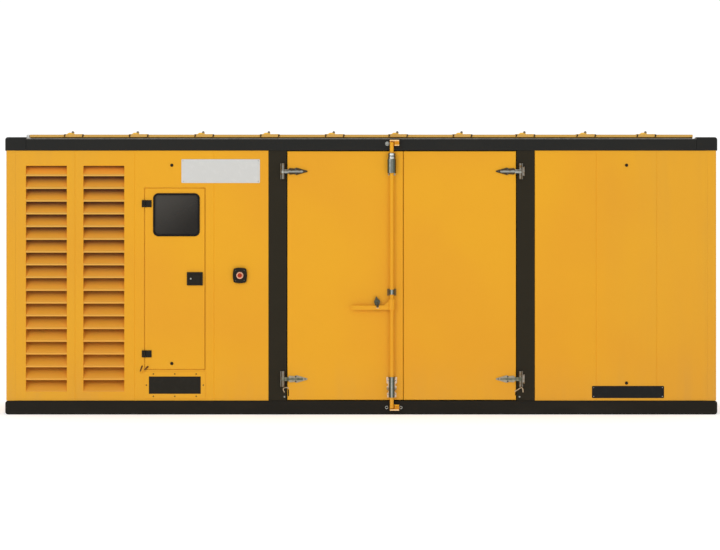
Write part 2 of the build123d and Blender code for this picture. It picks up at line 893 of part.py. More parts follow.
def build():
    left_start = opening_start + door_gap
    right_end = opening_end - door_gap
    intakes = [front_wall * p for p in intake_panels()]
    louvres = [front_wall * louvre_unit(left) for left in intake_lefts()]
    roof = roof_edges()
    plugs = plug_places()
    stops = (opening_start, opening_end)
    return {
        "base_side_rails": both_sides(base_side_rail()),
        "base_end_rails": both_ends(base_end_rail()),
        "base_cross_members": cross_members(),
        "floor_plate": [floor_plate()],
        "top_side_rails": both_sides(top_side_rail()),
        "top_end_rails": both_ends(top_end_rail()),
        "corner_caps": four_corners(corner_cap()),
        "corner_posts": four_corners(corner_post()),
        "posts": posts(),
        "door_stops": [door_stop(x) for x in stops],
        "intake_panels": intakes,
        "intake_louvres": louvres,
        "control_panel": [control_panel()],
        "stop_panel": [front_wall * plain_panel(stop_start, left_post_start)],
        "right_bay_panels": right_bay_panels(),
        "back_intake_panels": [mirror(p, about=Plane.XZ) for p in intakes],
        "back_louvres": [mirror(unit, about=Plane.XZ) for unit in louvres],
        "back_panels": back_panels(),
        "left_end_panels": left_end_panels(),
        "right_end_panels": right_end_panels(),
        "right_end_louvres": [right_wall * louvre_unit(left) for left in end_louvre_lefts()],
        "roof_panels": [roof_panel(a, b) for a, b in zip(roof, roof[1:])],
        "roof_straps": [roof_strap(x) for x in roof[1:-1]],
        "door_hinge_plates": left_hinges(hinge_plate()) + right_hinges(hinge_plate()),
        "rod_keepers": [rod_keeper(keeper_level, -1), rod_keeper(frame_height - keeper_drop, 1)],
        "control_hinge_bases": control_hinges(small_hinge_fixed()),
        "cable_entry_frame": [cable_entry_frame()],
        "cable_entry_cover": [cable_entry_cover()],
        "estop_plate": [estop_plate()],
        "estop_collar": [estop_collar()],
        "panel_plugs": [Pos(x, -side_face, z) * plug() for x, z in plugs["panel"]],
        "left_door_leaf": [door_leaf(left_start, leaf_split - door_split_gap / 2)],
        "left_door_straps": left_hinges(strap_leaf()),
        "rod_guides": rod_guides(),
        "handle_catch": [handle_catch()],
        "lock_rod": [lock_rod()],
        "lock_handle": [lock_handle()],
        "right_door_leaf": [door_leaf(leaf_split + door_split_gap / 2, right_end)],
        "right_door_straps": right_hinges(strap_leaf()),
        "control_door_leaf": [control_door_leaf()],
        "window_gasket": [window_gasket()],
        "window_glass": [window_glass()],
        "control_hinge_leaves": control_hinges(small_hinge_moving()),
        "control_lock": [control_lock()],
        "control_door_plug": [Pos(plugs["door"][0], -side_face, plugs["door"][1]) * plug()],
        "estop_button": [estop_button()],
    }


os.makedirs("parts", exist_ok=True)
for node, pieces in build().items():
    solids = [solid for piece in pieces for solid in piece.solids()]
    export_step(solids[0] if len(solids) == 1 else Compound(children=solids), f"parts/{node}.step")
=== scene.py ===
import bmesh
import bpy
import json
import math
from mathutils import Matrix, Vector


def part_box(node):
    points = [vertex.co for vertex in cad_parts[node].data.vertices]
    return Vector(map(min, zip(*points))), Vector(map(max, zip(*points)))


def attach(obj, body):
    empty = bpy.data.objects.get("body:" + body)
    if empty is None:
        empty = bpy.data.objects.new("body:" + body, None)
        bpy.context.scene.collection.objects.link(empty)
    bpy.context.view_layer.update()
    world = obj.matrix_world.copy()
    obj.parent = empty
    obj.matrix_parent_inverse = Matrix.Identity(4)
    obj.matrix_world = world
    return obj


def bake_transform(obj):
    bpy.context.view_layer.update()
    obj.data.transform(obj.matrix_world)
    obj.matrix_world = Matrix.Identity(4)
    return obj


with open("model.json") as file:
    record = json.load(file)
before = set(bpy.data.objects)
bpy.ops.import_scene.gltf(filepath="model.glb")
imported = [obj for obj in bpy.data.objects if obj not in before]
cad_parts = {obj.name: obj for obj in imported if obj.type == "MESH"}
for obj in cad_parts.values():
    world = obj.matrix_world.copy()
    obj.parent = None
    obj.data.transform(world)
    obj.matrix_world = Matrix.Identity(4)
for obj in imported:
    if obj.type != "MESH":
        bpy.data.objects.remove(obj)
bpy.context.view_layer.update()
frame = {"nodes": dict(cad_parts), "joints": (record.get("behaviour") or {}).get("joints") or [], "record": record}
nodes = frame["nodes"]
joints = {joint["name"]: joint for joint in frame["joints"]}


class Wire:  # a shader socket that takes part in sums
    def __init__(self, finish, socket):
        self.finish = finish
        self.socket = socket

    def calc(self, operation, first, second):
        return self.finish.add("ShaderNodeMath", {"operation": operation}, {0: first, 1: second})

    def __add__(self, other):
        return self.calc("ADD", self, other)

    def __sub__(self, other):
        return self.calc("SUBTRACT", self, other)

    def __rsub__(self, other):
        return self.calc("SUBTRACT", other, self)

    def __mul__(self, other):
        return self.calc("MULTIPLY", self, other)

    def __abs__(self):
        return self.finish.add("ShaderNodeMath", {"operation": "ABSOLUTE"}, {0: self})

    __radd__ = __add__
    __rmul__ = __mul__


class Finish:  # one material, or the sky, and the nodes it is made of
    def __init__(self, name, owner=None):
        self.material = owner or bpy.data.materials.new(name)
        self.material.use_nodes = True
        self.tree = self.material.node_tree
        self.shader = self.tree.nodes["Background" if owner else "Principled BSDF"]
        self.place = self.add("ShaderNodeTexCoord", output="Generated" if owner else "Object")

    def add(self, kind, settings=None, sockets=None, output=0):
        node = self.tree.nodes.new(kind)
        for key, value in (settings or {}).items():
            setattr(node, key, value)
        for key, value in (sockets or {}).items():
            self.feed(node.inputs[key], value)
        return Wire(self, node.outputs[output])

    def feed(self, socket, value):
        if isinstance(value, Wire):
            self.tree.links.new(value.socket, socket)
        else:
            socket.default_value = value

    def surface(self, sockets):
        for key, value in sockets.items():
            self.feed(self.shader.inputs[key], value)
        return self.material

    def noise(self, scale, detail=3.0, stretch=(1, 1, 1)):
        place = self.add("ShaderNodeMapping", None, {"Vector": self.place, "Scale": stretch})
        return self.add("ShaderNodeTexNoise", None, {"Vector": place, "Scale": scale, "Detail": detail})

    def ramp(self, value, low, high):  # 0 below low, 1 above high
        return self.add("ShaderNodeMapRange", {"interpolation_type": "SMOOTHSTEP"},
                        {"Value": value, "From Min": low, "From Max": high})

    def tint(self, share, first, second):
        return self.add("ShaderNodeMix", {"data_type": "RGBA"}, {0: share, 6: first, 7: second}, 2)

    def bump(self, height, strength, depth):
        return self.add("ShaderNodeBump", None, {"Height": height, "Strength": strength, "Distance": depth})

    def along(self, axis):
        return self.add("ShaderNodeSeparateXYZ", None, {"Vector": self.place}, axis)

    def facing(self, axis):  # 1 where the surface looks straight along the axis
        normal = self.add("ShaderNodeTexCoord", output="Normal")
        return self.add("ShaderNodeSeparateXYZ", None, {"Vector": normal}, axis)


def shade(red, green, blue):
    return (red, green, blue, 1.0)


# Planes and places read from the frame

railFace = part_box("base_side_rails")[0].y
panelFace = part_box("stop_panel")[0].y
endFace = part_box("right_end_panels")[1].x
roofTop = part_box("roof_panels")[1].z
leftPin = Vector(joints["left_door_swing"]["pos_m"])
rightPin = Vector(joints["right_door_swing"]["pos_m"])
controlPin = Vector(joints["control_door_swing"]["pos_m"])
rodAxis = Vector(joints["lock_bar_turn"]["pos_m"])
keeperLow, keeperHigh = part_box("rod_keepers")
guideLow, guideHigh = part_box("rod_guides")
hingeHalf = 0.032  # half the height of a strap hinge
strapLow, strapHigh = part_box("left_door_straps")
hingeLevels = (strapLow.z + hingeHalf, strapHigh.z - hingeHalf)


# Finishes

yellowPaint = {
    "body": shade(0.81, 0.387, 0.013),
    "faded": shade(0.785, 0.357, 0.015),
    "dust": shade(0.50, 0.30, 0.12),
    "endShade": shade(0.50, 0.26, 0.06),  # painted shade towards both ends of the enclosure
    "gapLight": shade(0.97, 0.52, 0.03),  # painted light on the edges of the doors and their openings, lightening the shade in the gaps
    "rough": 0.40,
    "dustLine": (0.1, 0.60),  # heights between which road dust fades out
    "dustShare": 0.16,
    "ends": (1.75, 2.75),  # distances from the middle between which the painted end shade sets in
}


def yellowCoat(name):  # the paint's finish and its colour, before any local dirt
    paint = Finish(name)
    patch = paint.ramp(paint.noise(0.9, 2.0), 0.35, 0.7)
    return paint, paint.tint(patch, yellowPaint["body"], yellowPaint["faded"])


def finishYellow(paint, colour, dirtAndShade):
    peel = paint.noise(420.0, 2.0)
    wave = paint.noise(1.6, 1.0)
    skin = paint.bump(peel * 0.05 + wave * 6.0, 0.25, 0.001)
    rough = yellowPaint["rough"] + dirtAndShade * 0.4 + peel * 0.06
    return paint.surface({"Base Color": colour, "Roughness": rough, "Normal": skin, "Specular IOR Level": 0.2,
                          "Coat Weight": 0.04, "Coat Roughness": 0.2})


def dustAndEndShade(paint, colour):  # dust low down, and painted shade darkening towards the ends
    streak = paint.ramp(paint.noise(7.0, 4.0, (1, 1, 0.12)), 0.35, 0.75)
    low = 1 - paint.ramp(paint.along("Z"), *yellowPaint["dustLine"])
    dust = low * (0.3 + streak * 0.5) * yellowPaint["dustShare"]
    # painted shade towards the ends, stronger on the faces that look along Y
    ends = paint.ramp(abs(paint.along("X")), *yellowPaint["ends"]) * (0.4 + abs(paint.facing("Y")) * 0.6)
    colour = paint.tint(ends * (0.11 + streak * 0.09), colour, yellowPaint["endShade"])
    return paint.tint(dust, colour, yellowPaint["dust"]), dust


def makeYellow():
    paint, colour = yellowCoat("yellowPaint")
    return finishYellow(paint, *dustAndEndShade(paint, colour))


doorEdge = {"depth": (0.0005, 0.0020), "freeEdgeUnlit": (0.012, 0.020)}  # behind the face; from the free edge


def makeDoorYellow():  # painted light on the edges in the door gaps, lightening their shade
    paint, colour = yellowCoat("doorYellow")
    colour, dust = dustAndEndShade(paint, colour)
    fromFreeEdge = abs(paint.along("X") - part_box("control_door_leaf")[1].x)
    freeEdgeUnlit = 1 - paint.ramp(fromFreeEdge, *doorEdge["freeEdgeUnlit"])  # no painted light along the control door's free edge
    back = paint.ramp(paint.facing("Y"), 0.3, 0.8)
    edge = paint.ramp(paint.along("Y"), *(panelFace + depth for depth in doorEdge["depth"])) * (1 - back)
    return finishYellow(paint, paint.tint(edge * (1 - freeEdgeUnlit), colour, yellowPaint["gapLight"]), dust)


louvreFilmLipAndShade = {
    # lip: painted highlight on the blade lips; deep: painted shade further into the louvres; film: an orange film
    "film": shade(0.93, 0.395, 0.066), "lip": shade(0.66, 0.39, 0.075), "deep": shade(0.098, 0.056, 0.058),
    "inside": (0.0005, 0.0015), "lipEnd": (0.004, 0.010), "deepStart": (0.028, 0.100),  # behind the face
    "rainWashAndShadeRise": (0.2, 2.0),  # heights between which the painted shade and the painted lip highlight grow towards the upper blades
}


def makeLouvre(name, axis, face):  # an orange film on the blades, a painted highlight on their lips and painted shade further in
    paint, colour = yellowCoat(name)
    depth = abs(face) - abs(paint.along(axis))
    inside = paint.ramp(depth, *louvreFilmLipAndShade["inside"])
    rise = paint.ramp(paint.along("Z"), *louvreFilmLipAndShade["rainWashAndShadeRise"])
    film = (0.35 + paint.noise(14.0, 4.0, (0.4, 1, 1)) * 0.4) * inside
    lip = inside * (1 - paint.ramp(depth, *louvreFilmLipAndShade["lipEnd"]))
    cloud = 0.72 + paint.noise(9.0, 4.0) * 0.3
    deep = paint.ramp(depth, *louvreFilmLipAndShade["deepStart"]) * cloud * (0.22 + rise * 0.78)
    colour = paint.tint(film, colour, louvreFilmLipAndShade["film"])
    colour = paint.tint(lip * (0.25 + rise * 0.42), colour, louvreFilmLipAndShade["lip"])
    return finishYellow(paint, paint.tint(deep, colour, louvreFilmLipAndShade["deep"]), deep)


roofTan = {
    "body": shade(0.56, 0.34, 0.11), "worn": shade(0.62, 0.37, 0.08), "underEdgeShade": shade(0.010, 0.007, 0.004),
    "lug": shade(0.86, 0.50, 0.07),
    "edge": 2.3605,  # height of the roof edge's underside
    "fade": 0.002,
    "lugFrom": roofTop + 0.0035,
    "noLug": roofTop + 1.0,  # higher than anything on the roof
}


def makeRoof(name, lugFrom):  # a tan film, painted shade under the overhanging edge, and cleaner lugs above it
    paint, colour = yellowCoat(name)
    fade = roofTan["fade"]
    rainWashAndShadeRise = paint.ramp(paint.facing("Z"), 0.7, 0.95)  # rain keeps the flat top cleaner than the edge
    film = (0.75 + paint.noise(5.0, 4.0, (0.3, 1, 1)) * 0.25) * (1 - rainWashAndShadeRise * 0.6)
    height = paint.along("Z")
    lug = paint.ramp(height, lugFrom, lugFrom + fade)
    colour = paint.tint(film, colour, paint.tint(paint.noise(3.0, 3.0), roofTan["body"], roofTan["worn"]))
    colour = paint.tint(lug, colour, roofTan["lug"])
    # painted shade below the roof edge's underside
    underEdgeShade = 1 - paint.ramp(height, roofTan["edge"] - fade, roofTan["edge"])
    return finishYellow(paint, paint.tint(underEdgeShade, colour, roofTan["underEdgeShade"]), film)


keeperWearAndHighlight = {
    "pale": shade(0.93, 0.66, 0.36),
    "topLip": (0.012, 0.010), "ledge": (0.050, 0.049), "ledgeTop": (0.043, 0.042),  # below the top
    "bottomLip": (0.010, 0.012),  # above the bottom
    "front": (0.001, 0.004),  # behind the front
}


def makeKeeper():  # the lips are rubbed pale by the rod, with a painted highlight on their front edges
    paint, colour = yellowCoat("keeperYellow")
    height = paint.along("Z")
    topLip, ledge, ledgeTop = (paint.ramp(height, *(keeperHigh.z - drop for drop in keeperWearAndHighlight[band]))
                               for band in ("topLip", "ledge", "ledgeTop"))
    bottomLip = 1 - paint.ramp(height, *(keeperLow.z + rise for rise in keeperWearAndHighlight["bottomLip"]))
    front = 1 - paint.ramp(paint.along("Y"), *(keeperLow.y + depth for depth in keeperWearAndHighlight["front"]))
    scuff = paint.ramp(paint.noise(60.0, 4.0), 0.25, 0.6)
    worn = (topLip + ledge * (1 - ledgeTop) + bottomLip) * front * (0.35 + scuff * 0.6)
    return finishYellow(paint, paint.tint(worn, colour, keeperWearAndHighlight["pale"]), worn)


blackPaint = {
    "post": shade(0.0215, 0.0172, 0.0092),
    "rail": shade(0.0165, 0.0166, 0.0152),
    "base": shade(0.0130, 0.0110, 0.0075),
    "dust": shade(0.050, 0.042, 0.030),
    "ledge": shade(0.52, 0.47, 0.41),  # pale dust and a painted highlight on the top rails' upper edges
    "rough": 0.45,
    "dustLine": (0.0, 0.12),
}


def makeBlack(name, body, ledge):
    paint = Finish(name)
    grime = paint.ramp(paint.noise(5.0, 6.0, (0.35, 1, 1)), 0.45, 0.8)
    low = 1 - paint.ramp(paint.along("Z"), *blackPaint["dustLine"])
    dust = grime * (0.08 + low * 0.12)
    # pale dust and painted highlight on the faces that look upward
    upper = paint.ramp(paint.facing("Z"), 0.2, 0.6) * (0.45 + paint.noise(24.0, 4.0) * 0.8) * ledge
    colour = paint.tint(dust, blackPaint[body], blackPaint["dust"])
    colour = paint.tint(upper, colour, blackPaint["ledge"])
    grain = paint.noise(600.0, 2.0)
    rough = blackPaint["rough"] + dust * 0.5 + upper * 0.3 + grain * 0.08
    return paint.surface({"Base Color": colour, "Roughness": rough, "Specular IOR Level": 0.12,
                          "Normal": paint.bump(grain, 0.12, 0.0006)})


zincPlate = {
    "bright": shade(0.52, 0.54, 0.50),
    "warm": shade(0.47, 0.42, 0.31),  # plating gone yellowish low down
    "dull": shade(0.27, 0.275, 0.25),
    "polishAndHighlight": shade(0.80, 0.82, 0.80),
    "wing": shade(0.36, 0.34, 0.30),
    # dark tarnish, also used as painted shade on flanks and barrel edges
    "tarnishAndShade": shade(0.085, 0.060, 0.032),
    "moss": shade(0.105, 0.125, 0.095),  # greenish passivation in the shade of the ribs
    "glow": shade(0.80, 0.60, 0.42),  # painted reflection of the yellow doors on the plating
    "brown": shade(0.22, 0.135, 0.055),
    "rough": 0.24,
}


def finishZinc(metal, colour, cloud):
    brush = metal.noise(260.0, 3.0, (1, 1, 0.08))
    return metal.surface({"Base Color": colour, "Metallic": 1.0,
                          "Roughness": zincPlate["rough"] + cloud * 0.2 + brush * 0.1,
                          "Normal": metal.bump(brush, 0.15, 0.0004)})


def zincCloud(name):
    metal = Finish(name)
    return metal, metal.ramp(metal.noise(38.0, 5.0), 0.3, 0.75)


def makeZinc(name, bright, dull):  # painted shade on the flanks that face sideways
    metal, cloud = zincCloud(name)
    colour = metal.tint(cloud, zincPlate[bright], zincPlate[dull])
    flank = metal.ramp(abs(metal.facing("X")), 0.25, 0.7)
    return finishZinc(metal, metal.tint(flank * 0.9, colour, zincPlate["tarnishAndShade"]), cloud)


strapShine = {
    "rib": (0.0125, 0.0090),  # out from the panels
    "upper": (0.9, 1.1),  # heights between the lower and the upper hinges
    "dull": (-0.004, 0.005),  # about the middle of the upper ribs, above which painted shade dims them
}


def makeStrapZinc():  # painted highlights on the ribs of the upper hinges and the edges of the lower ones, painted shade round the upper ribs
    metal, cloud = zincCloud("strapZinc")
    height = metal.along("Z")
    rib = 1 - metal.ramp(metal.along("Y"), *(panelFace - out for out in strapShine["rib"]))
    upper = metal.ramp(height, *strapShine["upper"])
    dull = metal.ramp(height, *(hingeLevels[1] + rise for rise in strapShine["dull"])) * (0.35 + cloud * 0.5)
    shaded = metal.tint(upper, zincPlate["moss"], zincPlate["tarnishAndShade"])
    polishAndHighlight = upper * rib * (1 - dull) + (1 - upper) * (1 - rib * (0.55 + cloud * 0.45))
    plating = metal.tint(upper, zincPlate["warm"], zincPlate["bright"])
    colour = metal.tint(polishAndHighlight * (0.95 - cloud * 0.3), shaded, plating)
    return finishZinc(metal, colour, cloud)


guideShine = {
    "top": (1.5, 1.6), "low": (0.5, 0.6),  # heights that part the three guides
    "collars": (2.166, 2.172),  # the painted highlight on the top guide's housing is weaker below its collars
    "shadowFoot": (0.196, 0.204), "shadowTop": (0.226, 0.234), "corner": (0.302, 0.308),
    "cornerHalf": (0.027, 0.032),  # from the rod's axis
    "flange": (0.0105, 0.0085),  # out from the panels
}


def makeGuideZinc():  # a painted highlight band down the barrels, left of their middle on the top guide, and painted shade at their edges
    metal, cloud = zincCloud("guideZinc")
    height = metal.along("Z")
    top, low = metal.ramp(height, *guideShine["top"]), 1 - metal.ramp(height, *guideShine["low"])
    turn = abs(metal.facing("X") + top * 0.2)
    body = top * (1 - metal.ramp(height, *guideShine["collars"]))
    band = (1 - metal.ramp(turn, 0.08, 0.36)) * (1 - body * 0.45)
    barrel = metal.tint(band * (1 - cloud * 0.35), zincPlate["moss"], zincPlate["bright"])
    barrel = metal.tint(metal.ramp(turn, 0.65, 0.95), barrel, zincPlate["tarnishAndShade"])
    flange = metal.ramp(metal.along("Y"), *(panelFace - out for out in guideShine["flange"]))
    # a painted shadow band and painted shade at the top corners of the bottom guide's plates
    aboveShadow = metal.ramp(height, *guideShine["shadowTop"])
    shadow = metal.ramp(height, *guideShine["shadowFoot"]) * (1 - aboveShadow)
    middle = 1 - metal.ramp(abs(metal.along("X") - rodAxis.x), *guideShine["cornerHalf"])
    corner = metal.ramp(height, *guideShine["corner"]) * middle
    # plates: painted reflection of the yellow doors on the bottom guide, brown on the others
    plate = metal.tint(low * (1 - shadow * 0.7) * (1 - corner), zincPlate["brown"], zincPlate["glow"])
    return finishZinc(metal, metal.tint(flange * (1 - top), barrel, plate), cloud)


plainCoats = {  # body colour, paler wear, roughness and scale of the grain
    "blackPlastic": (shade(0.0110, 0.0090, 0.0048), shade(0.027, 0.024, 0.017), 0.45, 500.0),
    "gasketRubber": (shade(0.003, 0.0025, 0.002), shade(0.015, 0.013, 0.011), 0.65, 300.0),
    "collarAmber": (shade(0.86, 0.46, 0.29), shade(0.90, 0.58, 0.42), 0.4, 300.0),
    "stopRed": (shade(0.40, 0.030, 0.005), shade(0.50, 0.07, 0.02), 0.4, 300.0),
    "signPale": (shade(0.62, 0.62, 0.60), shade(0.72, 0.72, 0.70), 0.4, 200.0),
    "signDark": (shade(0.006, 0.006, 0.006), shade(0.02, 0.02, 0.02), 0.4, 200.0),
    "dullSteel": (shade(0.085, 0.082, 0.072), shade(0.16, 0.155, 0.14), 0.4, 300.0),
    "brownScrewShade": (shade(0.16, 0.085, 0.012), shade(0.22, 0.13, 0.03), 0.5, 300.0),
    "capSteel": (shade(0.20, 0.155, 0.095), shade(0.34, 0.27, 0.18), 0.4, 300.0),
    "lugBrown": (shade(0.085, 0.018, 0.004), shade(0.14, 0.04, 0.012), 0.5, 300.0),
    "braid": (shade(0.52, 0.40, 0.26), shade(0.66, 0.54, 0.38), 0.5, 900.0),
    "haspLipHighlight": (shade(0.86, 0.58, 0.24), shade(0.92, 0.70, 0.38), 0.35, 300.0),
}


def makePlain(name):  # plastic, rubber and small dull steel
    body, pale, rough, grainScale = plainCoats[name]
    coat = Finish(name)
    wear = coat.ramp(coat.noise(30.0, 4.0), 0.45, 0.85)
    grain = coat.noise(grainScale, 2.0)
    return coat.surface({"Base Color": coat.tint(wear * 0.35, body, pale), "Roughness": rough + wear * 0.12,
                         "Specular IOR Level": 0.2, "Normal": coat.bump(grain, 0.2, 0.0004)})


tintedGlass = {
    "deep": shade(0.0145, 0.0120, 0.0095), "reflectionTint": shade(0.060, 0.055, 0.048),
    "film": (2.15, 2.68),  # painted reflection, brighter towards the upper left corner
}


# painted reflection brightening the pane towards its upper left
def makeGlass():
    pane = Finish("tintedGlass")
    slant = pane.along("Z") * 0.8 - pane.along("X") * 0.6 + pane.noise(3.0, 2.0) * 0.12
    reflectionTint = pane.ramp(slant, *tintedGlass["film"])
    colour = pane.tint(reflectionTint, tintedGlass["deep"], tintedGlass["reflectionTint"])
    return pane.surface({"Base Color": colour, "Roughness": 0.12 + reflectionTint * 0.12, "Alpha": 0.95,
                         "Specular IOR Level": 0.35})


floorSteel = {"dark": shade(0.06, 0.06, 0.062), "scuffed": shade(0.12, 0.115, 0.108), "treadScale": 32.0}


def makeFloorPlate():
    plate = Finish("floorPlate")
    scuff = plate.ramp(plate.noise(6.0, 6.0), 0.35, 0.75)
    colour = plate.tint(scuff, floorSteel["dark"], floorSteel["scuffed"])
    tread = plate.add("ShaderNodeTexVoronoi", {"distance": "CHEBYCHEV"},
                      {"Vector": plate.place, "Scale": floorSteel["treadScale"]})
    stud = 1 - plate.ramp(tread, 0.12, 0.3)
    return plate.surface({"Base Color": colour, "Roughness": 0.45 + scuff * 0.2,
                          "Normal": plate.bump(stud, 0.6, 0.002)})


finishes = {
    "panel_yellow": makeYellow(),
    "frame_black": makeBlack("postBlack", "post", 0.0),
    "zinc_steel": makeZinc("zincPlate", "bright", "dull"),
    "black_plastic": makePlain("blackPlastic"),
    "gasket_rubber": makePlain("gasketRubber"),
    "collar_amber": makePlain("collarAmber"),
    "stop_red": makePlain("stopRed"),
    "tinted_glass": makeGlass(),
    "floor_steel": makeFloorPlate(),
}
finishes["entry_frame"] = finishes["panel_yellow"]
ownFinishes = {
    "intake_louvres": makeLouvre("frontLouvre", "Y", panelFace),
    "right_end_louvres": makeLouvre("endLouvre", "X", endFace),
    "roof_panels": makeRoof("roofYellow", roofTan["noLug"]),
    "roof_straps": makeRoof("strapYellow", roofTan["lugFrom"]),
    "top_side_rails": makeBlack("railBlack", "rail", 1.0),
    "base_side_rails": makeBlack("baseBlack", "base", 0.0),
    "top_end_rails": makeBlack("endRailBlack", "rail", 0.06),
    "corner_caps": makeBlack("capBlack", "rail", 0.06),
    "control_panel": makeDoorYellow(),
    "rod_keepers": makeKeeper(),
    "rod_guides": makeGuideZinc(),
    "left_door_straps": makeStrapZinc(),
    "door_hinge_plates": makeZinc("plateZinc", "dull", "brown"),
    "handle_catch": makeZinc("catchSteel", "moss", "tarnishAndShade"),
}
for leaf in ("control_door_leaf", "left_door_leaf", "right_door_leaf"):
    ownFinishes[leaf] = ownFinishes["control_panel"]
ownFinishes["back_louvres"] = ownFinishes["intake_louvres"]
ownFinishes["right_door_straps"] = ownFinishes["left_door_straps"]
ownFinishes["base_end_rails"] = ownFinishes["base_side_rails"]
looseNames = ("signPale", "signDark", "dullSteel", "brownScrewShade", "capSteel", "lugBrown", "braid", "haspLipHighlight")
loose = {name: makePlain(name) for name in looseNames}
loose["polishedZinc"] = makeZinc("polishedZinc", "polishAndHighlight", "bright")
loose["wingZinc"] = makeZinc("wingZinc", "wing", "brown")

for part in frame["record"]["subparts"]:
    node = part["node"]
    dress = nodes[node].data.materials
    dress.clear()
    dress.append(ownFinishes.get(node) or finishes[part["material_slot"]])
print("finishes:", len(finishes) + len(ownFinishes) + len(loose))


# Mesh helpers

sharpAngle = math.radians(32)  # edges that turn further than this stay crisp


def ring(shape, at, radius, height, sides):
    turn = 2 * math.pi / sides
    if radius == 0:
        return [shape.verts.new(at @ Vector((0, 0, height)))]
    return [shape.verts.new(at @ Vector((radius * math.cos(i * turn), radius * math.sin(i * turn), height)))
            for i in range(sides)]


def turned(shape, at, profile, sides, hoop=False):  # profile: (radius, height) pairs; a hoop joins its ends
    rings = [ring(shape, at, radius, height, sides) for radius, height in profile]
    for low, high in zip(rings, rings[1:] + rings[:1] if hoop else rings[1:]):
        for i in range(sides):
            j = (i + 1) % sides
            corners = [low[i % len(low)], low[j % len(low)], high[j % len(high)], high[i % len(high)]]
            shape.faces.new(dict.fromkeys(corners))


def loft(shape, rings):  # closed skin over a row of like rings
    for low, high in zip(rings, rings[1:]):
        for i in range(len(low)):
            j = (i + 1) % len(low)
            shape.faces.new((low[i], low[j], high[j], high[i]))
    shape.faces.new(rings[0])
    shape.faces.new(rings[-1])


def prism(shape, outline, back, front, edge=0.0):  # outline: (x, z) pairs; edge: bevel of the front
    middle = Vector((sum(x for x, z in outline), sum(z for x, z in outline))) / len(outline)
    layers = [(0.0, back), (0.0, front + edge), (edge, front)]
    rings = []
    for inset, y in layers if edge else layers[:2]:
        shift = [(Vector(c) - middle) * (1 - inset / (Vector(c) - middle).length) + middle for c in outline]
        rings.append([shape.verts.new((c.x, y, c.y)) for c in shift])
    loft(shape, rings)


def rectangle(x0, z0, x1, z1):
    return [(x0, z0), (x1, z0), (x1, z1), (x0, z1)]


def roundedBox(x0, z0, x1, z1, radius, steps=5):
    centres = [(x1 - radius, z1 - radius, 0), (x0 + radius, z1 - radius, 90),
               (x0 + radius, z0 + radius, 180), (x1 - radius, z0 + radius, 270)]
    return [(x + radius * math.cos(math.radians(start + 90 * i / steps)),
             z + radius * math.sin(math.radians(start + 90 * i / steps)))
            for x, z, start in centres for i in range(steps + 1)]


def border(shape, x0, z0, x1, z1, width, back, front):  # flat strip round the inside of a box
    spans = ((x0, z0, x1, z0 + width), (x0, z1 - width, x1, z1),
             (x0, z0 + width, x0 + width, z1 - width), (x1 - width, z0 + width, x1, z1 - width))
    for span in spans:
        prism(shape, rectangle(*span), back, front)


def outward(x, y, z):  # local Z points out of the front
    return Matrix.Translation((x, y, z)) @ Matrix.Rotation(math.radians(90), 4, "X")


def upward(x, y, z):
    return Matrix.Translation((x, y, z))


profiles = {  # (radius, height) pairs, as shares of the fastener's size
    "washer": ((0, 0), (1.25, 0), (1.25, 0.16), (0, 0.16)),
    "hexHead": ((0, 0.16), (0.98, 0.16), (1, 0.25), (1, 0.75), (0.82, 0.9), (0, 0.9)),
    "panHead": ((0, 0), (1, 0), (1, 0.2), (0.85, 0.5), (0.45, 0.66), (0.38, 0.66), (0.32, 0.35), (0, 0.3)),
    "ringNut": ((1.2, 0), (1.2, 0.2), (1, 0.25), (1, 0.8), (0.85, 0.95), (0.68, 0.95), (0.62, 0)),
    "boltEnd": ((0, 0), (0.61, 0), (0.61, 0.5), (0.4, 0.6), (0, 0.6)),
    "knobCap": ((0, -1.5), (1, -1.5), (1, 0.2), (0.8, 0.45), (0.4, 0.5), (0.35, 0.3), (0, 0.3)),
}


def lathe(shape, at, name, size, sides, hoop=False):
    turned(shape, at, [(radius * size, height * size) for radius, height in profiles[name]], sides, hoop)


def hexBolt(shape, at, size):
    lathe(shape, at, "washer", size, 20)
    lathe(shape, at, "hexHead", size, 6)


def panScrew(shape, at, size):
    lathe(shape, at, "panHead", size, 16)


def ringNut(shape, at, size):  # a nut with an open bore
    lathe(shape, at, "ringNut", size, 18, hoop=True)


def boltEnd(shape, at, size):  # the dark end of a bolt inside its nut
    lathe(shape, at, "boltEnd", size, 18)


def piece(name, body, slot, build, finish=None):
    mesh = bpy.data.meshes.new(name)
    shape = bmesh.new()
    build(shape)
    bmesh.ops.recalc_face_normals(shape, faces=shape.faces)
    shape.to_mesh(mesh)
    shape.free()
    mesh.polygons.foreach_set("use_smooth", [True] * len(mesh.polygons))
    mesh.set_sharp_from_angle(angle=sharpAngle)
    made = bpy.data.objects.new(name, mesh)
    bpy.context.scene.collection.objects.link(made)
    mesh.materials.append(finish or finishes[slot])
    if body:
        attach(made, body)
    return made


def fasteners(name, body, slot, kind, spots, finish=None):
    def build(shape):
        for at, size in spots:
            kind(shape, at, size)
    return piece(name, body, slot, build, finish)


# Bolts of the strap hinges

strapBolts = {
    "spots": ((0.107, 0.0195, 1), (0.107, -0.0195, 1), (0.187, 0, 0.7)),  # from the pin; share of size
    "size": 0.0062, "leaf": 0.008,
}


def strapSpots(pin, side):
    face = panelFace - strapBolts["leaf"]
    return [(outward(pin.x + side * dx, face, level + dz), strapBolts["size"] * share)
            for level in hingeLevels for dx, dz, share in strapBolts["spots"]]


fasteners("leftStrapBolts", "left_door", "zinc_steel", hexBolt, strapSpots(leftPin, 1), loose["dullSteel"])
fasteners("rightStrapBolts", "right_door", "zinc_steel", hexBolt, strapSpots(rightPin, -1),
          loose["dullSteel"])

# Lock bar fasteners

keeperBolts = {
    "upper": (-0.038,), "drop": 0.031, "bolt": 0.0145,
    "lower": (-0.043, 0.0775), "rise": 0.025, "nut": 0.0115,
}


